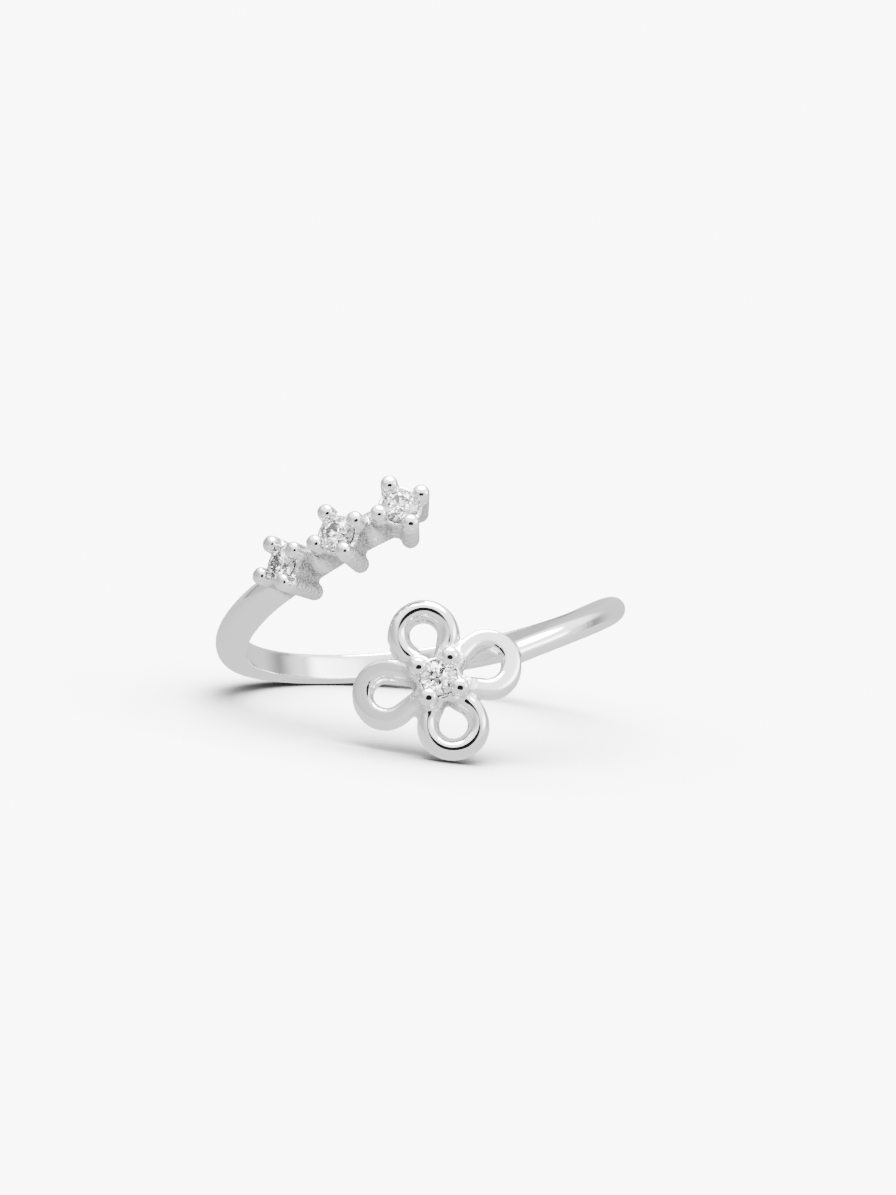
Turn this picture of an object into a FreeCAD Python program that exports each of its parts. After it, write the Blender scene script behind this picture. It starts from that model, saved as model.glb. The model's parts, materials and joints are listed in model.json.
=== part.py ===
import FreeCAD, Part
import math
import os
from FreeCAD import Vector

# Open bypass toe ring, millimetres. It is drawn about the axis of the toe hole:
# X to the right, Y to the back of the ring, Z along the axis, front at -Y.
# Angles along the band are measured from the middle of the back, left negative.
# At the end one turn lays the ring as it rests on a table, with +Z up.

# Toe hole and band
toe_radius = 7.5
toe_hole_length = 40
band_slices = 18
left_end = -178.5
right_end = 158.0
back_thick, left_thick, right_thick, row_thick, end_thick = 0.85, 1.13, 0.70, 0.62, 0.90
back_flat, left_flat, right_flat, row_flat = 0.50, 0.52, 0.41, 0.50
edge_swell = 1.22
left_blend, row_blend = (20.0, 65.0), (122.0, 24.0)
right_blend, end_blend = (40.0, 50.0), (135.0, 20.0)
inner_spare, edge_step = 0.12, 0.04
side_share, ease_share, ease_swell = 0.34, 0.13, 0.72
left_slope, left_start, left_steady = 0.0384, 70.0, 140.0
right_slope, right_start, right_steady = 0.0435, 60.0, 96.0

# Row of three stones on the left arm
row_angles = (-142.5, -159.2, -175.9)
row_girdle = 9.32
row_lean = 10.0
row_turn = 19.0
row_fan = 4.0
row_foot = 1.55
row_prongs = (0, 90, 180, 270)

# Flower at the end of the right arm
flower_side, flower_drop = -0.08, -4.29
flower_turn = 10.0
flower_front = 8.35
flower_depth = 1.25
petals = ((0, 2.04, 1.36), (90, 1.98, 1.43), (180, 2.04, 1.36), (270, 1.86, 1.42))
petal_hole = 0.56
petal_waist, petal_waist_at = 0.55, 0.50
hole_tip, hole_tip_in = 0.15, 0.96
petal_round = 0.40
flower_girdle = 0.12
flower_prongs = (45, 135, 225, 315)
web_radius, web_at, web_drop = 0.26, 1.42, 0.35

# Prongs, cups and stones
prong_ring = 1.02
prong_inset = 0.07
prong_radius, bead_radius = 0.34, 0.37
bead_rise = 0.23
cup_radius, cup_foot, cup_bore = 0.84, 0.58, 0.45
cup_drop, bore_length = 0.05, 4.0
stone_size = 1.45
stone_gap = 0.03
table_share, girdle_share = 0.55, 0.012
crown_angle, pavilion_angle = 34, 41
star_share, pavilion_share = 0.76, 0.24

# How far a cutting shape stands out of what it cuts, and how near two heights are one
cut_spare = 0.05
flush = 1e-6

# How the ring lies on the table: front raised, then right side raised
rest_tilt = 21.48
rest_roll = 15.0


def smooth(value):
    value = min(max(value, 0.0), 1.0)
    return value * value * (3.0 - 2.0 * value)


def blend(angle, place_and_length):
    """Share from 0 to 1 of the next thickness, from a place on, over a length, in degrees."""
    start, length = place_and_length
    return smooth((angle - start) / length)


def ramp(angle, slope, start, steady):
    """Climb of an arm: none up to start, then a slope that is full from steady on."""
    if angle < start:
        return 0.0
    if angle < steady:
        return slope * (angle - start) ** 2 / (2.0 * (steady - start))
    return slope * (angle - (start + steady) / 2.0)


def band_height(angle):
    if angle < 0:
        return ramp(-angle, left_slope, left_start, left_steady)
    return -ramp(angle, right_slope, right_start, right_steady)


def band_slice(angle):
    """D-shaped outline of the band: flat to the toe, eased edges, domed outside."""
    if angle < 0:
        side = blend(-angle, left_blend)
        row = blend(-angle, row_blend)
        thick = back_thick + side * (left_thick - back_thick) + row * (row_thick - left_thick)
        flat = back_flat + side * (left_flat - back_flat) + row * (row_flat - left_flat)
    else:
        side = blend(angle, right_blend)
        end = blend(angle, end_blend)
        thick = back_thick + side * (right_thick - back_thick) + end * (end_thick - right_thick)
        flat = back_flat + side * (right_flat - back_flat)
    wide = flat * edge_swell
    turn = math.radians(angle)
    height = band_height(angle)

    def at(out, up):
        radius = toe_radius + out
        return Vector(radius * math.sin(turn), radius * math.cos(turn), height + up)

    eased = flat + ease_swell * (wide - flat)
    lower_in, upper_in = at(-inner_spare, -flat), at(-inner_spare, flat)
    lower_edge, upper_edge = at(edge_step, -flat), at(edge_step, flat)
    lower_side, upper_side = at(side_share * thick, -wide), at(side_share * thick, wide)
    lower_ease, upper_ease = at(ease_share * thick, -eased), at(ease_share * thick, eased)
    edges = [
        Part.makeLine(lower_in, upper_in),
        Part.makeLine(upper_in, upper_edge),
        Part.Arc(upper_edge, upper_ease, upper_side).toShape(),
        Part.Arc(upper_side, at(thick, 0.0), lower_side).toShape(),
        Part.Arc(lower_side, lower_ease, lower_edge).toShape(),
        Part.makeLine(lower_edge, lower_in),
    ]
    return Part.Wire(edges)


def make_band():
    step = (right_end - left_end) / band_slices
    slices = [band_slice(left_end + step * index) for index in range(band_slices + 1)]
    return Part.makeLoft(slices, True, False)


def place(shape, origin, along, outward):
    """Moves a shape from its own X (along) and Z (outward) to its seat on the ring."""
    z_axis = Vector(outward).normalize()
    x_axis = (Vector(along) - z_axis * Vector(along).dot(z_axis)).normalize()
    y_axis = z_axis.cross(x_axis)
    matrix = FreeCAD.Matrix(
        x_axis.x, y_axis.x, z_axis.x, origin.x,
        x_axis.y, y_axis.y, z_axis.y, origin.y,
        x_axis.z, y_axis.z, z_axis.z, origin.z,
        0.0, 0.0, 0.0, 1.0,
    )
    moved = shape.copy()
    moved.Placement = FreeCAD.Placement(matrix).multiply(moved.Placement)
    return moved


def make_prong(length):
    """One prong: a round column with a bead on its tip and a rounded foot."""
    foot = Vector(0, 0, 0)
    outline = Part.Wire([
        Part.Arc(
            Vector(0, 0, -prong_radius),
            Vector(prong_radius * math.sin(math.radians(45)), 0, -prong_radius * math.cos(math.radians(45))),
            Vector(prong_radius, 0, 0),
        ).toShape(),
        Part.makeLine(Vector(prong_radius, 0, 0), Vector(prong_radius, 0, length)),
        Part.makeLine(Vector(prong_radius, 0, length), Vector(0, 0, length)),
        Part.makeLine(Vector(0, 0, length), Vector(0, 0, -prong_radius)),
    ])
    column = Part.Face(outline).revolve(foot, Vector(0, 0, 1), 360)
    column = column.fuse(Part.makeSphere(bead_radius, Vector(0, 0, length)))
    lean = math.degrees(math.atan2(prong_inset, length))
    column.rotate(foot, Vector(0, 1, 0), lean)
    column.translate(Vector(prong_ring - prong_inset, 0, -length + bead_rise))
    return column


def stone_levels(size):
    """Heights and radii of a round cut, measured from the middle of its girdle."""
    girdle = size / 2.0
    half_edge = girdle_share * size
    table = table_share * girdle
    crown = half_edge + (girdle - table) * math.tan(math.radians(crown_angle))
    culet = -half_edge - girdle * math.tan(math.radians(pavilion_angle))
    return girdle, half_edge, table, crown, culet


def make_stone(size):
    """Round brilliant with its table up and the middle of its girdle at the origin."""
    girdle, half_edge, table, crown, culet = stone_levels(size)
    half = math.pi / 8.0

    def ring(radius, height, offset, count):
        pitch = 2.0 * math.pi / count
        return [
            Vector(radius * math.cos(pitch * index + offset), radius * math.sin(pitch * index + offset), height)
            for index in range(count)
        ]

    star_radius = star_share * girdle
    star_mid = star_radius * math.cos(half)
    star_height = crown + (half_edge - crown) * (star_mid - table) / (girdle - table)
    pavilion_radius = pavilion_share * girdle
    pavilion_mid = pavilion_radius * math.cos(half)
    pavilion_height = culet + (-half_edge - culet) * pavilion_mid / girdle
    top = ring(table, crown, 0.0, 8)
    star = ring(star_radius, star_height, half, 8)
    upper = ring(girdle, half_edge, 0.0, 16)
    lower = ring(girdle, -half_edge, 0.0, 16)
    waist = ring(pavilion_radius, pavilion_height, half, 8)
    point = Vector(0, 0, culet)
    facets = [top]
    for index in range(8):
        after = (index + 1) % 8
        before = (index + 7) % 8
        facets.append([top[index], star[index], top[after]])
        facets.append([top[index], star[before], upper[2 * index], star[index]])
        facets.append([star[index], upper[2 * index], upper[2 * index + 1]])
        facets.append([star[index], upper[2 * index + 1], upper[(2 * index + 2) % 16]])
        facets.append([waist[index], lower[2 * index], lower[2 * index + 1]])
        facets.append([waist[index], lower[2 * index + 1], lower[(2 * index + 2) % 16]])
        facets.append([point, waist[before], lower[2 * index], waist[index]])
    for index in range(16):
        after = (index + 1) % 16
        facets.append([upper[index], lower[index], lower[after], upper[after]])
    faces = [Part.Face(Part.makePolygon(corners + [corners[0]])) for corners in facets]
    solid = Part.makeSolid(Part.makeShell(faces))
    if solid.Volume < 0:
        solid.reverse()
    return solid


def make_seat(size):
    """Room for a stone, larger by the gap, with an open bore behind it."""
    girdle, half_edge, table, crown, culet = stone_levels(size)
    reach = girdle + stone_gap
    outline = Part.makePolygon([
        Vector(0, 0, culet - 1.5 * stone_gap),
        Vector(reach, 0, -half_edge - 0.5 * stone_gap),
        Vector(reach, 0, half_edge + 0.5 * stone_gap),
        Vector(table + stone_gap, 0, crown + stone_gap),
        Vector(0, 0, crown + stone_gap),
        Vector(0, 0, culet - 1.5 * stone_gap),
    ])
    room = Part.Face(outline).revolve(Vector(0, 0, 0), Vector(0, 0, 1), 360)
    return room.fuse(Part.makeCylinder(cup_bore, bore_length, Vector(0, 0, -bore_length)))


def make_setting(foot_depth, prong_angles, seat):
    """Tapered cup with four prongs, its stone's girdle at the origin, foot below."""
    cup = Part.makeCone(cup_foot, cup_radius, foot_depth - cup_drop, Vector(0, 0, -foot_depth))
    pieces = [cup.cut(seat)]
    prong = make_prong(foot_depth + bead_rise).cut(seat)
    for angle in prong_angles:
        turned = prong.copy()
        turned.rotate(Vector(0, 0, 0), Vector(0, 0, 1), angle)
        pieces.append(turned)
    return pieces


def row_frame(angle):
    """Centre, direction along the row and outward direction of one setting of the row."""
    turn = math.radians(angle)
    up = Vector(0, 0, 1)
    centre = Vector(math.sin(turn), math.cos(turn), 0) * row_girdle + up * band_height(angle)
    pitch = (row_angles[0] - row_angles[2]) / 2.0
    turn -= math.radians(row_fan * (row_angles[1] - angle) / pitch)
    outward = Vector(math.sin(turn), math.cos(turn), 0)
    along = Vector(-math.cos(turn), math.sin(turn), 0)
    lean = math.radians(row_lean)
    climb = math.radians(row_turn)
    tilted_out = outward * math.cos(lean) + up * math.sin(lean)
    tilted_up = up * math.cos(lean) - outward * math.sin(lean)
    return centre, along * math.cos(climb) + tilted_up * math.sin(climb), tilted_out


def flower_frame():
    turn = math.radians(flower_turn)
    centre = Vector(flower_side, -flower_front, flower_drop)
    return centre, Vector(math.cos(turn), 0, math.sin(turn)), Vector(0, -1, 0)


def teardrop(big, big_at, small, small_at, height):
    """Closed outline round two circles on the X axis, joined by their common tangents."""
    spread = math.acos((big - small) / (big_at - small_at))

    def rim(radius, centre, angle):
        return Vector(centre + radius * math.cos(angle), radius * math.sin(angle), height)

    return Part.Wire([
        Part.Arc(rim(big, big_at, -math.pi + spread), rim(big, big_at, 0), rim(big, big_at, math.pi - spread)).toShape(),
        Part.makeLine(rim(big, big_at, math.pi - spread), rim(small, small_at, math.pi - spread)),
        Part.Arc(
            rim(small, small_at, math.pi - spread),
            rim(small, small_at, math.pi),
            rim(small, small_at, -math.pi + spread),
        ).toShape(),
        Part.makeLine(rim(small, small_at, -math.pi + spread), rim(big, big_at, -math.pi + spread)),
    ])


def make_petal(angle, reach, radius):
    """Open petal: a teardrop loop of round-faced wire."""
    outer = teardrop(radius, reach, petal_waist, petal_waist_at, -flower_depth)
    inner = teardrop(petal_hole, reach, hole_tip, reach - hole_tip_in, -flower_depth)
    lift = Vector(0, 0, flower_depth)
    body = Part.Face(outer).extrude(lift)
    rim_out = [edge for edge in body.Edges if abs(edge.BoundBox.ZMin) < flush and abs(edge.BoundBox.ZMax) < flush]
    body = body.makeFillet(petal_round, rim_out)
    hole = Part.Face(inner).extrude(Vector(0, 0, flower_depth + 2 * cut_spare))
    hole.translate(Vector(0, 0, -cut_spare))
    body = body.cut(hole)
    body.rotate(Vector(0, 0, 0), Vector(0, 0, 1), angle)
    return body


def make_flower(seat):
    """Four petals round a cup with four prongs, small fillets of metal between the petals."""
    lift = Vector(0, 0, flower_girdle)
    raised_seat = seat.copy()
    raised_seat.translate(lift)
    pieces = [make_petal(angle, reach, radius).cut(raised_seat) for angle, reach, radius in petals]
    for piece in make_setting(flower_depth + flower_girdle, flower_prongs, seat):
        piece.translate(lift)
        pieces.append(piece)
    for angle in flower_prongs:
        web = Part.makeCylinder(web_radius, flower_depth - web_drop, Vector(web_at, 0, -flower_depth))
        web.rotate(Vector(0, 0, 0), Vector(0, 0, 1), angle)
        pieces.append(web)
    return pieces


def join(pieces):
    """One solid from pieces that overlap, joined one after another."""
    whole = pieces[0]
    for piece in pieces[1:]:
        whole = whole.fuse(piece)
    return whole


def lie_down(shape):
    """Turns the ring from its own axis to the way it rests on a table."""
    laid = shape.copy()
    laid.rotate(Vector(0, 0, 0), Vector(0, 1, 0), -rest_roll)
    laid.rotate(Vector(0, 0, 0), Vector(1, 0, 0), -rest_tilt)
    return laid


toe_hole = Part.makeCylinder(toe_radius, toe_hole_length, Vector(0, 0, -toe_hole_length / 2))
band = make_band().cut(toe_hole)
seat = make_seat(stone_size)
stone = make_stone(stone_size)
row_setting = join(make_setting(row_foot, row_prongs, seat))
metal = []
stones = {}
row_names = ("row_stone_1", "row_stone_2", "row_stone_3")
for name, angle in zip(row_names, row_angles):
    centre, along, outward = row_frame(angle)
    metal.append(place(row_setting, centre, along, outward).cut(toe_hole))
    band = band.cut(place(seat, centre, along, outward))
    stones[name] = place(stone, centre, along, outward)

centre, along, outward = flower_frame()
metal.append(place(join(make_flower(seat)), centre, along, outward).cut(toe_hole))
stones["flower_stone"] = place(stone, centre + outward * flower_girdle, along, outward)

ring = join([band] + metal)
nodes = {"ring_body": ring.Solids[0]}
nodes.update(stones)

laid = {name: lie_down(shape) for name, shape in nodes.items()}
box = Part.makeCompound(list(laid.values())).optimalBoundingBox(True, False)
shift = Vector(-(box.XMin + box.XMax) / 2, -(box.YMin + box.YMax) / 2, -box.ZMin)
os.makedirs("parts", exist_ok=True)
for name, shape in laid.items():
    shape.translate(shift)
    shape.exportStep("parts/" + name + ".step")
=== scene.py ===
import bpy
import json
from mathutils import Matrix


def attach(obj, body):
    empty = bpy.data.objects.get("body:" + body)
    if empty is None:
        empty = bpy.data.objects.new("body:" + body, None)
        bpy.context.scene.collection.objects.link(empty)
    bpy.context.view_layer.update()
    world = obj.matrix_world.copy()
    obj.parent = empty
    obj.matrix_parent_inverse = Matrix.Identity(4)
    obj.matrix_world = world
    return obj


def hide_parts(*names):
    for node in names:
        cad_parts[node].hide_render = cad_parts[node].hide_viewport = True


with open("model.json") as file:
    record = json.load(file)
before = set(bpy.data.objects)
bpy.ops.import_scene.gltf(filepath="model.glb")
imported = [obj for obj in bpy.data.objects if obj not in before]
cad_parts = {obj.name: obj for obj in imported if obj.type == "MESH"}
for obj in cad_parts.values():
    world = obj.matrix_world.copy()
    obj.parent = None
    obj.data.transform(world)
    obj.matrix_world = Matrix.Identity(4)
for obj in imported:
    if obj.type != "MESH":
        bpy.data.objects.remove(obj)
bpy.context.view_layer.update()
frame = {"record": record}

import json
import math
import bpy
import numpy as np
from mathutils import Matrix, Vector

# Shapes are worked out in the ring's own frame, in millimetres: X right, Y back,
# Z along the axis of the toe hole, front at -Y. One turn then lays them as the ring rests.
# Angles are in degrees, and along the band they run from the back, with the left negative.
mm = 0.001
restTurn = {"tilt": 21.48, "roll": 15.0}
toeHole = next(mount for mount in frame["record"]["mounts"] if mount["name"] == "toe_hole")
ringOrigin = np.array(toeHole["pos_m"]) / mm


# Turn about Y by the roll, then about X by the tilt, as one 3 by 3 matrix
def restMatrix():
    tilt, roll = math.radians(restTurn["tilt"]), math.radians(restTurn["roll"])
    turnY = np.array([[math.cos(roll), 0, -math.sin(roll)],
                      [0, 1, 0],
                      [math.sin(roll), 0, math.cos(roll)]])
    turnX = np.array([[1, 0, 0],
                      [0, math.cos(tilt), math.sin(tilt)],
                      [0, -math.sin(tilt), math.cos(tilt)]])
    return turnX @ turnY


layDown = restMatrix()


# Smooth step: 3t^2 - 2t^3 of a value held between 0 and 1
def smooth(value):
    value = np.clip(value, 0.0, 1.0)
    return value * value * (3.0 - 2.0 * value)


# sRGB hex to linear: each channel by the sRGB curve, with alpha 1
def hexColour(text):
    channels = [int(text[i:i + 2], 16) / 255 for i in (0, 2, 4)]
    return [c / 12.92 if c <= 0.04045 else ((c + 0.055) / 1.055) ** 2.4 for c in channels] + [1.0]


# Faces of a grid of rows by columns, each a quad of neighbours; either way may wrap round
def gridFaces(rows, columns, wrapRows, wrapColumns):
    r = np.arange(rows if wrapRows else rows - 1)[:, None]
    c = np.arange(columns if wrapColumns else columns - 1)[None, :]
    r2, c2 = (r + 1) % rows, (c + 1) % columns
    corners = [r * columns + c, r * columns + c2, r2 * columns + c2, r2 * columns + c]
    return np.stack(corners, axis=-1).reshape(-1, 4)


# Surface of revolution: the profile (radius, height) turned about Z in equal steps
def lathe(profile, turns=40):
    profile = np.array(profile, float)
    angle = np.linspace(0, 2 * math.pi, turns, endpoint=False)[None, :]
    radius, height = profile[:, :1], profile[:, 1:]
    points = [radius * np.cos(angle), radius * np.sin(angle), height + 0 * angle]
    return np.stack(points, axis=-1).reshape(-1, 3), gridFaces(len(profile), turns, False, True)


# Turn about Z: x cos a - y sin a, and x sin a + y cos a
def turned(x, y, angle):
    turn = math.radians(angle)
    return x * math.cos(turn) - y * math.sin(turn), x * math.sin(turn) + y * math.cos(turn)


# Local points to the ring: centre + x * along + y * (outward x along) + z * outward
def seatOnRing(points, seat):
    centre, along, outward = seat
    side = np.cross(outward, along)
    return centre + points @ np.stack([along, side, outward])


# World metres from ring millimetres: the rest turn, then the ring's origin added
def toWorld(points):
    return (points @ layDown.T + ringOrigin) * mm


# Band

bandSet = {
    "toeRadius": 7.5,
    "leftEnd": -178.5, "rightEnd": 158.0,
    "thick": {"back": 0.85, "left": 1.22, "right": 0.70, "row": 0.62, "end": 0.52},
    # Half of the height of the flat inside
    "flat": {"back": 0.50, "left": 0.52, "right": 0.41, "row": 0.60, "end": 0.41},
    # Where each stretch starts to take over from the one before it, and over what length
    "blends": {"left": ("back", -1, 20, 65), "row": ("left", -1, 122, 24),
               "right": ("back", 1, 40, 50), "end": ("right", 1, 135, 20)},
    "edgeSwell": 1.22, "arcShare": 0.66, "easeShare": 0.34,
    # Slope in mm a degree, and the angles where the climb starts and is steady
    "leftClimb": (0.0384, 70.0, 140.0),
    "rightClimb": (0.0435, 60.0, 96.0),
    "slices": 240, "arcPoints": 28, "easePoints": 8, "flatPoints": 10,
}


# Climb of an arm: none up to start, a parabola to steady, then a straight slope
def ramp(angle, climb):
    slope, start, steady = climb
    bend = slope * (angle - start) ** 2 / (2 * (steady - start))
    line = slope * (angle - (start + steady) / 2)
    return np.where(angle < start, 0.0, np.where(angle < steady, bend, line))


# Height of the band's middle: the left arm's climb, or the right arm's climb downwards
def bandHeight(angle):
    left, right = ramp(-angle, bandSet["leftClimb"]), ramp(angle, bandSet["rightClimb"])
    return np.where(angle < 0, left, -right)


# A size along the band: the back's, plus a smooth step of each stretch's change from
# the stretch before it
def sizeAlong(sizes, angle):
    size = sizes["back"]
    for name, (before, side, start, length) in bandSet["blends"].items():
        share = smooth((side * angle - start) / length)
        size = size + share * (sizes[name] - sizes[before])
    return size


# D section swept round the toe: a flat inside, eased edges and an arc outside, whose
# radius is (wide^2 + rise^2) / 2 rise. The ends are closed by fans to their middles
def bandGrid():
    s = bandSet
    angle = np.linspace(s["leftEnd"], s["rightEnd"], s["slices"])[:, None]
    thick, flat = sizeAlong(s["thick"], angle), sizeAlong(s["flat"], angle)
    wide = flat * s["edgeSwell"]
    across = np.linspace(-1, 1, s["arcPoints"])[None, :]
    rise = s["arcShare"] * thick
    arc = (wide ** 2 + rise ** 2) / (2 * rise)
    outerOut = thick - arc + np.sqrt(arc ** 2 - (wide * across) ** 2)
    outerUp = wide * across
    ease = np.linspace(0, 1, s["easePoints"])[None, 1:-1]
    easeOut = s["easeShare"] * thick * (1 - ease) ** 2
    easeUp = wide - (wide - flat) * ease ** 2
    inside = np.linspace(1, -1, s["flatPoints"])[None, :]
    out = np.concatenate([outerOut, easeOut, 0 * flat * inside, easeOut[:, ::-1]], axis=1)
    up = np.concatenate([outerUp, easeUp, flat * inside, -easeUp[:, ::-1]], axis=1)
    turn = np.radians(angle)
    radius = s["toeRadius"] + out
    points = [radius * np.sin(turn), radius * np.cos(turn), bandHeight(angle) + up]
    points = np.stack(points, axis=-1)
    rows, columns = points.shape[:2]
    caps = [end.mean(axis=1, keepdims=True).repeat(columns, axis=1)
            for end in (points[:1], points[-1:])]
    points = np.concatenate([caps[0], points, caps[1]])
    return points.reshape(-1, 3), gridFaces(rows + 2, columns, False, True)


# Settings: four prongs with domed tips round a tapered cup

settingSet = {
    "rowAngles": (-142.5, -159.2, -175.9),
    "rowGirdle": 9.32, "rowLean": 10.0, "rowTurn": 19.0, "rowFan": 4.0, "rowFoot": 1.66,
    "rowProngs": (0, 90, 180, 270), "flowerProngs": (45, 135, 225, 315),
    "prongRing": 0.83, "prongInset": -0.12, "footSwell": 0.02, "footRings": 7,
    "rowBead": 0.36, "flowerBead": 0.39,
    "beadRise": 0.29, "beadDome": 0.27, "beadCurve": 2.3, "beadRings": 11,
    "cupRadius": 0.92, "cupFoot": 0.74, "cupBore": 0.42, "cupFloor": 0.35,
    # The rim's two eased edges: how far inside the cup's radius and below the girdle
    "rimEase": ((0.01, 0.14), (0.04, 0.06)),
    "stoneRadius": 0.725, "stoneRoom": 0.03, "seatDepth": 0.34,
    "bridge": (0.92, 0.70, 0.70), "bridgeDrop": 1.0,
}


# Centre, direction along the row and outward direction of one setting of the row. The
# settings fan out evenly about the middle one, lean back and climb with the row
def rowSeat(angle):
    s = settingSet
    up = np.array([0.0, 0.0, 1.0])
    turn = math.radians(angle)
    height = float(bandHeight(np.array(angle)))
    centre = np.array([math.sin(turn) * s["rowGirdle"], math.cos(turn) * s["rowGirdle"], height])
    pitch = (s["rowAngles"][0] - s["rowAngles"][2]) / 2
    turn -= math.radians(s["rowFan"] * (s["rowAngles"][1] - angle) / pitch)
    outward = np.array([math.sin(turn), math.cos(turn), 0.0])
    along = np.array([-math.cos(turn), math.sin(turn), 0.0])
    lean, climb = math.radians(s["rowLean"]), math.radians(s["rowTurn"])
    tiltedOut = outward * math.cos(lean) + up * math.sin(lean)
    tiltedUp = up * math.cos(lean) - outward * math.sin(lean)
    return centre, along * math.cos(climb) + tiltedUp * math.sin(climb), tiltedOut


# Cup: a lathe whose profile runs up the tapered outside, over the rim and down the seat
def cupGrid(foot):
    s = settingSet
    profile = [(0, -foot), (s["cupFoot"], -foot)]
    profile += [(s["cupRadius"] - inward, -down) for inward, down in s["rimEase"]]
    profile += [(s["stoneRadius"] + s["stoneRoom"], -s["stoneRoom"]), (s["cupBore"], -s["seatDepth"])]
    profile += [(s["cupBore"], -foot + s["cupFloor"]), (0, -foot + s["cupFloor"])]
    return lathe(profile)


# Prong: a lathe of a rounded foot and a straight column with a dome on top. The dome is a
# superellipse, bead * cos(t) ^ (2 / curve) wide, flatter than a ball, and the column leans
def prongGrid(foot, angle, bead, swell):
    s = settingSet
    length = foot + s["beadRise"]
    base = np.radians(np.linspace(0, 90, s["footRings"]))
    top = np.radians(np.linspace(0, 90, s["beadRings"]))
    power = 2 / s["beadCurve"]
    out = np.concatenate([(bead + swell) * np.sin(base), bead * np.abs(np.cos(top)) ** power])
    up = np.concatenate([-bead * np.cos(base), length + s["beadDome"] * np.sin(top) ** power])
    points, faces = lathe(np.stack([out, up], axis=1))
    lean = math.atan2(s["prongInset"], length)
    x = points[:, 0] * math.cos(lean) - points[:, 2] * math.sin(lean) + s["prongRing"]
    z = points[:, 0] * math.sin(lean) + points[:, 2] * math.cos(lean)
    return np.stack([*turned(x, points[:, 1], angle), z - foot], axis=1), faces


# Blob: a ball stretched along each axis, for the metal between neighbours
def blobGrid(radii, rings=16, turns=32):
    ball = np.radians(np.linspace(-90, 90, rings))
    points, faces = lathe(np.stack([np.cos(ball), np.sin(ball)], axis=1), turns)
    return points * np.array(radii), faces


# Flower

flowerSet = {
    "side": -0.08, "drop": -4.29, "turn": 10.0, "front": 8.35, "depth": 1.25, "girdle": 0.12,
    # Angle, reach and radius of a petal's big circle, its hole's radius, how far in the
    # hole's tip lies, and the curve of its top
    "petals": ((1.5, 2.05, 1.40, 0.66, 0.96, 3.6), (90, 1.98, 1.43, 0.65, 0.90, 2.0),
               (176.5, 2.14, 1.39, 0.65, 1.02, 3.6), (270, 1.86, 1.42, 0.67, 0.72, 2.0)),
    "holeTip": 0.20, "waist": 0.55, "waistAt": 0.50, "clear": 0.80, "leastCosine": 0.2,
    "dome": 0.38, "lip": 0.11, "lipDrop": 0.08,
    "loopPoints": 144, "topPoints": 25, "backAcross": (1.0, 0.5, -0.5),
    "sag": 0.35, "sagFrom": 0.80, "sagSoft": 0.3, "sagBack": 0.85, "sagWay": (0.04, 0.225, -1.0),
    "web": (0.30, 0.30, 0.42), "webAt": 1.42, "webDrop": 0.78,
}


# Centre, direction to the first petal and outward direction of the flower
def flowerSeat():
    s = flowerSet
    turn = math.radians(s["turn"])
    centre = np.array([s["side"], -s["front"], s["drop"]])
    return centre, np.array([math.cos(turn), 0.0, math.sin(turn)]), np.array([0.0, -1.0, 0.0])


# Teardrop in polar form about its big circle: the big radius, then the tangent line,
# then the far side of the small circle that lies towards the flower's centre
def teardrop(angle, big, small, apart):
    touch = math.pi - math.acos((big - small) / apart)
    away = np.abs(angle)
    line = big / np.maximum(np.cos(away - touch), flowerSet["leastCosine"])
    psi = math.pi - away
    inner = np.maximum(small ** 2 - (apart * np.sin(psi)) ** 2, 0)
    far = apart * np.cos(psi) + np.sqrt(inner)
    hitsSmall = (apart * np.sin(psi) < small) & (psi < math.pi / 2)
    beyond = np.where(hitsSmall, np.minimum(line, far), line)
    return np.where(away < touch, big, beyond)


# Petal: a loop round its hole. Across the wire the place goes from -1 at the hole to 1
# outside, and the top is a half superellipse of the dome's height over straight walls, with
# a thin lip left round the hole below the dome. A greater curve number makes it flatter
def petalGrid(angle, reach, radius, hole, tipIn, curve):
    f = flowerSet
    around = np.linspace(-math.pi, math.pi, f["loopPoints"], endpoint=False)[:, None]
    holeEdge = teardrop(around, hole, f["holeTip"], tipIn)
    rim = teardrop(around, radius, f["waist"], reach - f["waistAt"])
    x, y = reach + rim * np.cos(around), rim * np.sin(around)
    reachIn = (reach - f["clear"]) / np.maximum(-np.cos(around), f["leastCosine"])
    rim = np.where(np.hypot(x, y) < f["clear"], np.minimum(rim, reachIn), rim)
    top = np.radians(np.linspace(180, 0, f["topPoints"]))[None, :]
    power = 2 / curve
    across = np.sign(np.cos(top)) * np.abs(np.cos(top)) ** power
    across = np.concatenate([across, [f["backAcross"]]], axis=1)
    wire = (rim - holeEdge) / 2
    crown = f["dome"] * (np.maximum(np.sin(top), 0) ** power - 1)
    back, lip = [-f["depth"]] * 4, [-f["dome"] - f["lipDrop"]] * 2
    up = np.concatenate([crown, [back], [lip]], axis=1) * np.ones_like(wire)
    out = (rim + holeEdge) / 2 + wire * across
    lipEdge = holeEdge - f["lip"]
    out = np.concatenate([out, lipEdge, lipEdge, holeEdge], axis=1)
    x, y = turned(reach + out * np.cos(around), out * np.sin(around), angle)
    points = np.stack([x, y, up], axis=-1)
    return points.reshape(-1, 3), gridFaces(len(around), points.shape[1], True, True)


# Bend of the side petals round the toe: past its start the shift grows as
# (t + hypot(t, soft)) / 2 of the way gone, and less towards the petal's back
def bendBack(points, angle):
    f = flowerSet
    beyond = np.abs(points[:, 0]) - f["sagFrom"]
    sag = f["sag"] * abs(math.cos(math.radians(angle)))
    sag = sag * (beyond + np.hypot(beyond, f["sagSoft"])) / 2
    sag = sag * (1 + f["sagBack"] * points[:, 2] / f["depth"])
    return points + sag[:, None] * np.array(f["sagWay"])


# One mesh of all the cast metal: closed grids that overlap, then fused by a voxel remesh

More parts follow.
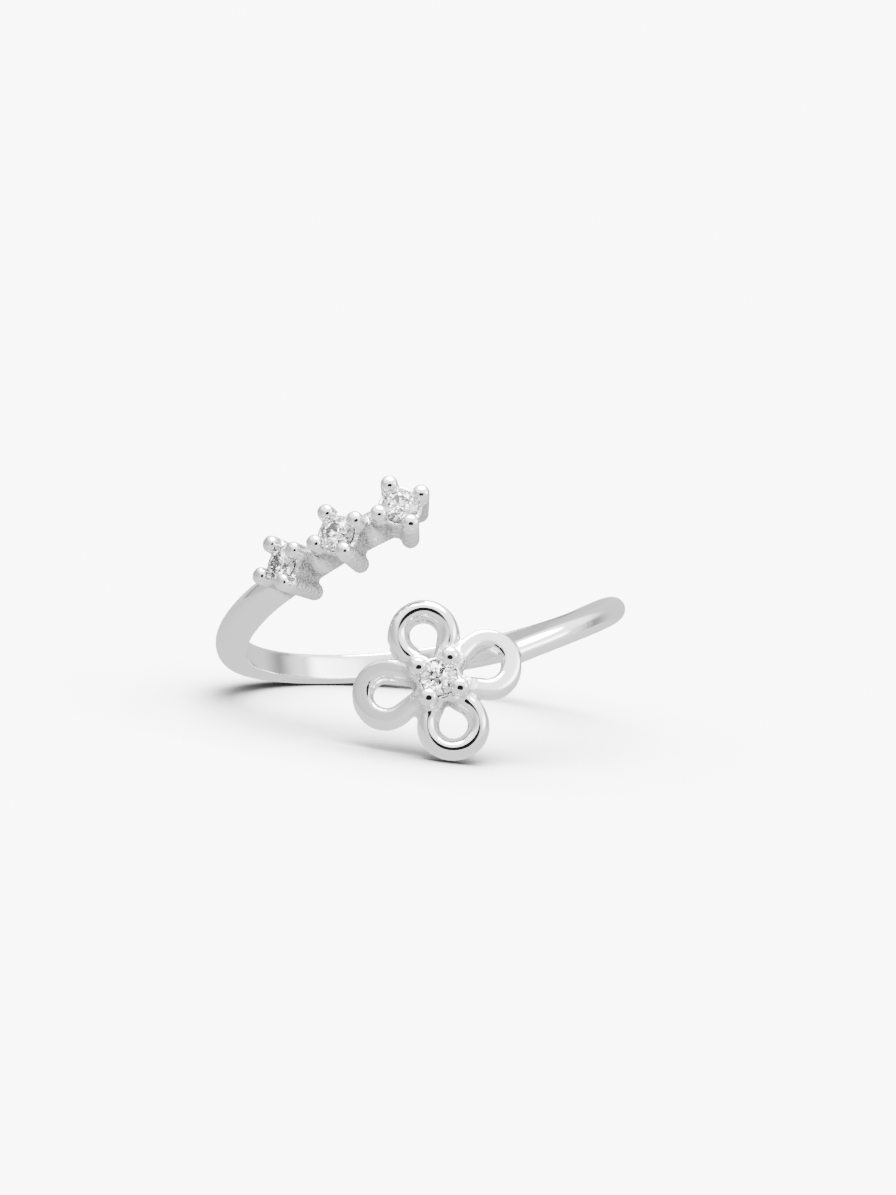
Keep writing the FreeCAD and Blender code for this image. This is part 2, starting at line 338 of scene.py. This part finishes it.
castSet = {
    "voxel": 0.066, "smoothing": 7, "smoothFactor": 0.5,
    "creaseSpread": 4, "creaseFull": 0.12,
    # The unpolished casting: how far it reaches from a setting's axis, and its edges
    "rowReach": 1.20, "flowerReach": 1.30, "reachEdge": 0.30, "reachFade": 0.5,
    "castTop": 0.05, "topFade": 0.25, "castFoot": 2.6, "footFade": 0.5,
    "boreRadius": 0.72, "boreDepth": 1.0, "boreDark": 0.6,
}


# All the grids, each put in its place: the band, the row's cups and prongs with a blob
# between neighbours, then the petals and the flower's cup, prongs and webs
def castParts():
    s, f = settingSet, flowerSet
    parts = [bandGrid()]

    def place(grid, seat, shift=(0, 0, 0)):
        points, faces = grid
        parts.append((seatOnRing(points + np.array(shift), seat), faces))

    for angle in s["rowAngles"]:
        seat = rowSeat(angle)
        place(cupGrid(s["rowFoot"]), seat)
        for prong in s["rowProngs"]:
            place(prongGrid(s["rowFoot"], prong, s["rowBead"], s["footSwell"]), seat)
    for first, second in zip(s["rowAngles"][:-1], s["rowAngles"][1:]):
        place(blobGrid(s["bridge"]), rowSeat((first + second) / 2), (0, 0, -s["bridgeDrop"]))
    seat = flowerSeat()
    for petal in f["petals"]:
        points, faces = petalGrid(*petal)
        place((bendBack(points, petal[0]), faces), seat)
    lift = (0, 0, f["girdle"])
    foot = f["depth"] + f["girdle"]
    place(cupGrid(foot), seat, lift)
    for angle in s["flowerProngs"]:
        place(prongGrid(foot, angle, s["flowerBead"], 0.0), seat, lift)
        turn = math.radians(angle)
        webAt = (math.cos(turn) * f["webAt"], math.sin(turn) * f["webAt"], -f["webDrop"])
        place(blobGrid(f["web"]), seat, webAt)
    return parts


# Nothing reaches into the toe's room: a nearer point moves straight out to the hole's wall
def clearToe(points):
    radius = np.hypot(points[:, 0], points[:, 1])
    push = np.maximum(bandSet["toeRadius"] / np.maximum(radius, 1e-6), 1.0)
    return points * np.stack([push, push, np.ones_like(push)], axis=1)


# A mesh object in the scene from arrays of points and of faces
def makeMesh(name, points, faces):
    mesh = bpy.data.meshes.new(name)
    mesh.from_pydata(points.tolist(), [], faces.tolist())
    mesh.update()
    return addPiece(name, mesh)


# An object for a mesh, linked to the scene, at the origin
def addPiece(name, mesh):
    piece = bpy.data.objects.new(name, mesh)
    bpy.context.scene.collection.objects.link(piece)
    return piece


# The cast piece: all grids as one rough mesh, fused into one skin, softened where they
# join, laid down in the world and held above the floor
def makeCast():
    s = castSet
    parts = castParts()
    print("grids:", len(parts), "closed shapes of cast metal")
    starts = np.cumsum([0] + [len(points) for points, faces in parts[:-1]])
    points = np.concatenate([points for points, faces in parts])
    faces = np.concatenate([part[1] + start for part, start in zip(parts, starts)])
    rough = makeMesh("castRough", clearToe(points), faces)
    remesh = rough.modifiers.new("fuse", "REMESH")
    remesh.mode = "VOXEL"
    remesh.voxel_size = s["voxel"]
    soften = rough.modifiers.new("soften", "SMOOTH")
    soften.factor = s["smoothFactor"]
    soften.iterations = s["smoothing"]
    graph = bpy.context.evaluated_depsgraph_get()
    mesh = bpy.data.meshes.new_from_object(rough.evaluated_get(graph))
    bpy.data.objects.remove(rough)
    flat = np.empty(len(mesh.vertices) * 3)
    mesh.vertices.foreach_get("co", flat)
    ringPoints = flat.reshape(-1, 3)
    world = toWorld(ringPoints)
    world[:, 2] = np.maximum(world[:, 2], 0.0)
    mesh.vertices.foreach_set("co", world.ravel())
    mesh.polygons.foreach_set("use_smooth", [True] * len(mesh.polygons))
    mesh.name = "castSilver"
    mesh.update()
    piece = addPiece("castSilver", mesh)
    addCastMask(mesh, ringPoints)
    print("cast silver:", len(mesh.vertices), "vertices", len(mesh.polygons), "faces")
    return piece


# How deep each vertex lies in a crease, which sets the painted shade there: the mean step
# to its neighbours, along its normal, in voxels, spread over the neighbours a few times
def creases(mesh, points):
    count = len(points)
    edges = np.empty(len(mesh.edges) * 2, np.int64)
    mesh.edges.foreach_get("vertices", edges)
    first, second = edges.reshape(-1, 2).T
    normals = np.empty(count * 3)
    mesh.vertex_normals.foreach_get("vector", normals)
    normals = normals.reshape(-1, 3) @ layDown
    number = np.bincount(first, minlength=count) + np.bincount(second, minlength=count)

    def neighbourMean(values):
        total = np.bincount(first, values[second], count) + np.bincount(second, values[first], count)
        return total / np.maximum(number, 1)

    mean = np.stack([neighbourMean(points[:, axis]) for axis in range(3)], axis=1)
    depth = ((mean - points) * normals).sum(axis=1) / castSet["voxel"]
    for repeat in range(castSet["creaseSpread"]):
        depth = 0.5 * depth + 0.5 * neighbourMean(depth)
    return smooth(depth / castSet["creaseFull"])


# How much a point is in the unpolished casting: a product of smooth steps of its distance
# from a setting's axis and of its height, full below the prongs' tips and near the axis.
# The bores behind the stones count as deep creases, so they get painted shade too
def addCastMask(mesh, ringPoints):
    s = castSet
    mask, bore = np.zeros(len(ringPoints)), np.zeros(len(ringPoints))
    seats = [(rowSeat(angle), s["rowReach"]) for angle in settingSet["rowAngles"]]
    for (centre, along, outward), reach in seats + [(flowerSeat(), s["flowerReach"])]:
        local = (ringPoints - centre) @ np.stack([along, np.cross(outward, along), outward]).T
        radius, height = np.hypot(local[:, 0], local[:, 1]), local[:, 2]
        inside = smooth((reach + s["reachEdge"] - radius) / s["reachFade"])
        inside = inside * smooth((s["castTop"] - height) / s["topFade"])
        mask = np.maximum(mask, inside * smooth((height + s["castFoot"]) / s["footFade"]))
        hidden = (radius < s["boreRadius"]) & (height < 0.0) & (height > -s["boreDepth"])
        bore = np.maximum(bore, hidden)
    # The crease attribute is painted shade: deep creases and the hidden bores behind the stones
    crease = np.maximum(creases(mesh, ringPoints), s["boreDark"] * bore)
    for name, values in (("castMask", mask), ("crease", crease)):
        attribute = mesh.attributes.new(name, "FLOAT", "POINT")
        attribute.data.foreach_set("value", values.astype(np.float32))


# Materials

# Adds a node with its settings and links: sockets take a value or another node's output
def addNode(tree, kind, inputs=None, **settings):
    node = tree.nodes.new(kind)
    for key, value in settings.items():
        setattr(node, key, value)
    for key, value in (inputs or {}).items():
        if isinstance(value, bpy.types.NodeSocket):
            tree.links.new(value, node.inputs[key])
        else:
            node.inputs[key].default_value = value
    return node


# A material with an empty node tree
def newMaterial(name):
    material = bpy.data.materials.new(name)
    material.use_nodes = True
    material.node_tree.nodes.clear()
    return material, material.node_tree


silverSet = {
    # The dark colour stands for the rough skin's own grey and for painted shade in creases
    "polished": "EDEDEE", "greyAndShade": "6C6C6E", "creaseShade": 0.28,
    "polishRoughness": 0.07, "castRoughness": 0.2,
    "rippleSize": 1.3, "ripple": 0.02, "rippleStrength": 0.25, "rippleDetail": 2.0,
    "grainSize": 0.12, "grain": 0.14, "grainDetail": 4.0,
}


# Cast and polished sterling silver: a near-white mirror with faint ripples from the
# polishing mop. On the settings' sides the casting's grainy skin is left, greyer where it
# is rough, and creases are given painted shade, a darker colour by their depth
def silverMaterial():
    s = silverSet
    material, tree = newMaterial("polishedCastSilver")
    place = addNode(tree, "ShaderNodeTexCoord").outputs["Object"]
    mask = addNode(tree, "ShaderNodeAttribute", attribute_name="castMask").outputs["Fac"]
    ripple = addNode(tree, "ShaderNodeTexNoise", {
        "Vector": place, "Scale": 1 / (s["rippleSize"] * mm), "Detail": s["rippleDetail"]})
    grain = addNode(tree, "ShaderNodeTexNoise", {
        "Vector": place, "Scale": 1 / (s["grainSize"] * mm), "Detail": s["grainDetail"]})
    skin = addNode(tree, "ShaderNodeMath", {0: grain.outputs["Fac"], 1: mask}, operation="MULTIPLY")
    rippleBump = addNode(tree, "ShaderNodeBump", {
        "Height": ripple.outputs["Fac"], "Strength": s["rippleStrength"], "Distance": s["ripple"] * mm})
    bump = addNode(tree, "ShaderNodeBump", {
        "Height": skin.outputs[0], "Strength": 1.0, "Distance": s["grain"] * mm,
        "Normal": rippleBump.outputs["Normal"]})
    crease = addNode(tree, "ShaderNodeAttribute", attribute_name="crease").outputs["Fac"]
    # Painted shade in creases, plus the rough skin's own grey where it is grainy
    skinGreyAndShade = addNode(tree, "ShaderNodeMath", {0: crease, 1: s["creaseShade"], 2: skin.outputs[0]},
                   operation="MULTIPLY_ADD", use_clamp=True)
    colour = addNode(tree, "ShaderNodeMix", {
        "Factor": skinGreyAndShade.outputs[0], "A": hexColour(s["polished"]), "B": hexColour(s["greyAndShade"])},
        data_type="RGBA")
    rough = addNode(tree, "ShaderNodeMapRange", {
        "Value": mask, "To Min": s["polishRoughness"], "To Max": s["castRoughness"]})
    shader = addNode(tree, "ShaderNodeBsdfPrincipled", {
        "Base Color": colour.outputs["Result"], "Metallic": 1.0,
        "Roughness": rough.outputs["Result"], "Normal": bump.outputs["Normal"]})
    addNode(tree, "ShaderNodeOutputMaterial", {"Surface": shader.outputs["BSDF"]})
    return material


stoneSet = {
    "tint": "FBFCFD", "ior": 2.16,
    "roughness": 0.0, "hazeRoughness": 0.02, "hazeSize": 0.5,
    "paintedDarkGlint": "101010", "edge": 0.024, "glintSize": 0.12, "glintShare": 0.54,
}


# Cut and polished cubic zirconia: colourless, bright and clear as glass, with a fine
# cutting haze on its facets. Short dark marks painted along the facets' edges, coarser than
# the real edge lines, are painted dark reflections for the crisp black and white sparkle
def stoneMaterial():
    s = stoneSet
    material, tree = newMaterial("clearZirconia")
    place = addNode(tree, "ShaderNodeTexCoord").outputs["Object"]
    haze = addNode(tree, "ShaderNodeTexNoise", {"Vector": place, "Scale": 1 / (s["hazeSize"] * mm)})
    rough = addNode(tree, "ShaderNodeMapRange", {
        "Value": haze.outputs["Fac"], "To Min": s["roughness"], "To Max": s["hazeRoughness"]})
    edge = addNode(tree, "ShaderNodeWireframe", {"Size": s["edge"] * mm}).outputs["Fac"]
    broken = addNode(tree, "ShaderNodeTexNoise", {"Vector": place, "Scale": 1 / (s["glintSize"] * mm)})
    kept = addNode(tree, "ShaderNodeMath", {0: broken.outputs["Fac"], 1: s["glintShare"]},
                   operation="GREATER_THAN")
    # Painted dark reflections: dark marks on the facets' edges where the noise is high
    paintedDarkGlint = addNode(tree, "ShaderNodeMath", {0: edge, 1: kept.outputs[0]}, operation="MULTIPLY")
    colour = addNode(tree, "ShaderNodeMix", {
        "Factor": paintedDarkGlint.outputs[0], "A": hexColour(s["tint"]), "B": hexColour(s["paintedDarkGlint"])},
        data_type="RGBA")
    shader = addNode(tree, "ShaderNodeBsdfPrincipled", {
        "Base Color": colour.outputs["Result"], "IOR": s["ior"],
        "Roughness": rough.outputs["Result"], "Transmission Weight": 1.0})
    addNode(tree, "ShaderNodeOutputMaterial", {"Surface": shader.outputs["BSDF"]})
    return material


cast = makeCast()
cast.data.materials.append(silverMaterial())
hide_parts("ring_body")
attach(cast, "root")

zirconia = stoneMaterial()
for name in ("row_stone_1", "row_stone_2", "row_stone_3", "flower_stone"):
    stone = bpy.data.objects[name]
    stone.data.materials.clear()
    stone.data.materials.append(zirconia)
print("stones: 4 keep their CAD facets")


# Studio: a pale paper floor and a camera in a light tent of soft walls

studioSet = {
    "floorSize": 3.0,
    "cameraDistance": 300.0, "lens": 219.47, "sensor": 36.0, "shift": (0.018456, 0.019746),
    "clip": (0.01, 10.0), "cameraTurn": {"elevation": -12.859, "roll": 8.0},
}

paperSet = {
    "colour": "F7F7F7", "fibresPerMetre": 900.0, "fibreShade": 0.98,
    "contact": 9.0, "contactLow": 0.5, "contactPower": 6.0, "contactSamples": 8,
    # What reflections see of it: brightness at the back left and at the front right
    "glowBack": 1.3, "glowFront": 1.8, "glowHalf": 20.0, "glowWay": (0.6, -0.8, 0),
}

# The tent's patches, laid over one another in this order: the half angle of its full
# middle, the half angle where it has faded out, and its brightness
tentSet = {
    "plain": 1.3,
    "patches": {
        "front": (60, 110, 1.7), "left": (25, 75, 0.95), "right": (25, 75, 2.1),
        "rim": (64, 84, 0.5), "back": (44, 66, 1.3), "lamp": (10, 24, 9.0),
        "upper": (44, 62, 3.6), "roof": (21, 29, 42.0), "opening": (20, 23, 0.02),
    },
    "lampWay": (0.86, -0.46, 0.22), "openingAside": (0.07, 0.08),
    "sparkScale": 24.0, "sparkDetail": 2.0, "sparkRange": (0.33, 0.67),
    "sparkPower": 3.0, "sparkHigh": 21.0,
}


# Matt white paper, uncoated and faintly fibrous: the camera sees it lit by the tent, with a
# contact shade near the ring, a power of how open the place is. Reflections see it glow
# evenly, so that the ring's undersides stay as light as in the tent
def floorMaterial():
    s = paperSet
    material, tree = newMaterial("mattWhitePaper")
    place = addNode(tree, "ShaderNodeTexCoord").outputs["Object"]
    fibre = addNode(tree, "ShaderNodeTexNoise", {"Vector": place, "Scale": s["fibresPerMetre"]})
    shade = addNode(tree, "ShaderNodeMapRange", {
        "Value": fibre.outputs["Fac"], "To Min": s["fibreShade"], "To Max": 1.0})
    colour = addNode(tree, "ShaderNodeMix", {
        "Factor": 1.0, "A": hexColour(s["colour"]), "B": shade.outputs["Result"]},
        data_type="RGBA", blend_type="MULTIPLY")
    ray = addNode(tree, "ShaderNodeLightPath")
    nearness = addNode(tree, "ShaderNodeAmbientOcclusion", {"Distance": s["contact"] * mm},
                       samples=s["contactSamples"])
    clear = addNode(tree, "ShaderNodeMapRange", {
        "Value": nearness.outputs["AO"], "To Min": s["contactLow"]})
    deep = addNode(tree, "ShaderNodeMath", {0: clear.outputs["Result"], 1: s["contactPower"]},
                   operation="POWER")
    shaded = addNode(tree, "ShaderNodeMix", {
        "Factor": 1.0, "A": colour.outputs["Result"], "B": deep.outputs[0]},
        data_type="RGBA", blend_type="MULTIPLY")
    paper = addNode(tree, "ShaderNodeBsdfDiffuse", {"Color": shaded.outputs["Result"]})
    side = addNode(tree, "ShaderNodeVectorMath", {0: place, 1: s["glowWay"]}, operation="DOT_PRODUCT")
    seen = addNode(tree, "ShaderNodeMapRange", {
        "Value": side.outputs["Value"], "From Min": -s["glowHalf"] * mm, "From Max": s["glowHalf"] * mm,
        "To Min": s["glowBack"], "To Max": s["glowFront"]})
    glow = addNode(tree, "ShaderNodeEmission", {
        "Color": colour.outputs["Result"], "Strength": seen.outputs["Result"]})
    shader = addNode(tree, "ShaderNodeMixShader", {
        0: ray.outputs["Is Camera Ray"], 1: glow.outputs[0], 2: paper.outputs[0]})
    addNode(tree, "ShaderNodeOutputMaterial", {"Surface": shader.outputs[0]})
    return material


# A square sheet about the origin, at the height of the ring's lowest points
def makeFloor():
    half = studioSet["floorSize"] / 2
    corners = np.array([(-half, -half, 0), (half, -half, 0), (half, half, 0), (-half, half, 0)])
    floor = makeMesh("paperFloor", corners, np.array([[0, 1, 2, 3]]))
    floor.data.materials.append(floorMaterial())


# Camera axes in the ring's frame, from its elevation and roll against the toe hole's axis,
# laid down with the ring
def cameraAxes():
    turn = studioSet["cameraTurn"]
    e, r = math.radians(turn["elevation"]), math.radians(turn["roll"])
    right = np.array([math.cos(r), 0, -math.sin(r)])
    up = np.array([math.sin(r) * math.cos(e), math.sin(e), math.cos(r) * math.cos(e)])
    forward = np.array([-math.sin(r) * math.sin(e), math.cos(e), -math.cos(r) * math.sin(e)])
    return layDown @ right, layDown @ up, layDown @ forward


# The camera: its distance straight back from the ring's origin, looking forward
def makeCamera():
    s = studioSet
    right, up, forward = cameraAxes()
    place = (ringOrigin - forward * s["cameraDistance"]) * mm
    data = bpy.data.cameras.new("photoCamera")
    data.lens, data.sensor_width = s["lens"], s["sensor"]
    data.shift_x, data.shift_y = s["shift"]
    data.clip_start, data.clip_end = s["clip"]
    camera = bpy.data.objects.new("photoCamera", data)
    bpy.context.scene.collection.objects.link(camera)
    axes = Matrix((right, up, -forward)).transposed().to_4x4()
    camera.matrix_world = Matrix.Translation(Vector(place)) @ axes
    bpy.context.scene.camera = camera


# Brightness of the tent by direction: each patch is mixed in by a smooth range of the dot
# product of the direction with the patch's own. Light that comes through a stone sees a
# power of noise instead, for the sparkle of many small lamps
def makeWorld():
    s = tentSet
    right, up, forward = cameraAxes()
    aside, above = s["openingAside"]
    roof = (0, 0, 1)
    ways = {"front": -forward, "left": -right, "right": right, "rim": forward, "back": forward,
            "lamp": layDown @ np.array(s["lampWay"]), "upper": roof, "roof": roof,
            "opening": -forward + aside * right + above * up}
    world = bpy.data.worlds.new("lightTent")
    world.use_nodes = True
    tree = world.node_tree
    tree.nodes.clear()
    direction = addNode(tree, "ShaderNodeTexCoord").outputs["Generated"]
    level = s["plain"]
    for name, (inner, outer, brightness) in s["patches"].items():
        towards = list(Vector(ways[name]).normalized())
        dot = addNode(tree, "ShaderNodeVectorMath", {0: direction, 1: towards}, operation="DOT_PRODUCT")
        amount = addNode(tree, "ShaderNodeMapRange", {
            "Value": dot.outputs["Value"], "From Min": math.cos(math.radians(outer)),
            "From Max": math.cos(math.radians(inner))}, interpolation_type="SMOOTHSTEP")
        level = addNode(tree, "ShaderNodeMix", {
            "Factor": amount.outputs["Result"], "A": level, "B": brightness},
            data_type="FLOAT").outputs["Result"]
    ray = addNode(tree, "ShaderNodeLightPath").outputs["Is Transmission Ray"]
    speck = addNode(tree, "ShaderNodeTexNoise", {
        "Vector": direction, "Scale": s["sparkScale"], "Detail": s["sparkDetail"]})
    share = addNode(tree, "ShaderNodeMapRange", {
        "Value": speck.outputs["Fac"], "From Min": s["sparkRange"][0], "From Max": s["sparkRange"][1]})
    curve = addNode(tree, "ShaderNodeMath", {0: share.outputs["Result"], 1: s["sparkPower"]},
                    operation="POWER")
    spark = addNode(tree, "ShaderNodeMath", {0: curve.outputs[0], 1: s["sparkHigh"]},
                    operation="MULTIPLY")
    level = addNode(tree, "ShaderNodeMix", {"Factor": ray, "A": level, "B": spark.outputs[0]},
                    data_type="FLOAT").outputs["Result"]
    background = addNode(tree, "ShaderNodeBackground", {"Color": (1, 1, 1, 1), "Strength": level})
    addNode(tree, "ShaderNodeOutputWorld", {"Surface": background.outputs["Background"]})
    bpy.context.scene.world = world


makeFloor()
makeCamera()
makeWorld()
print("studio: floor, camera and tent")
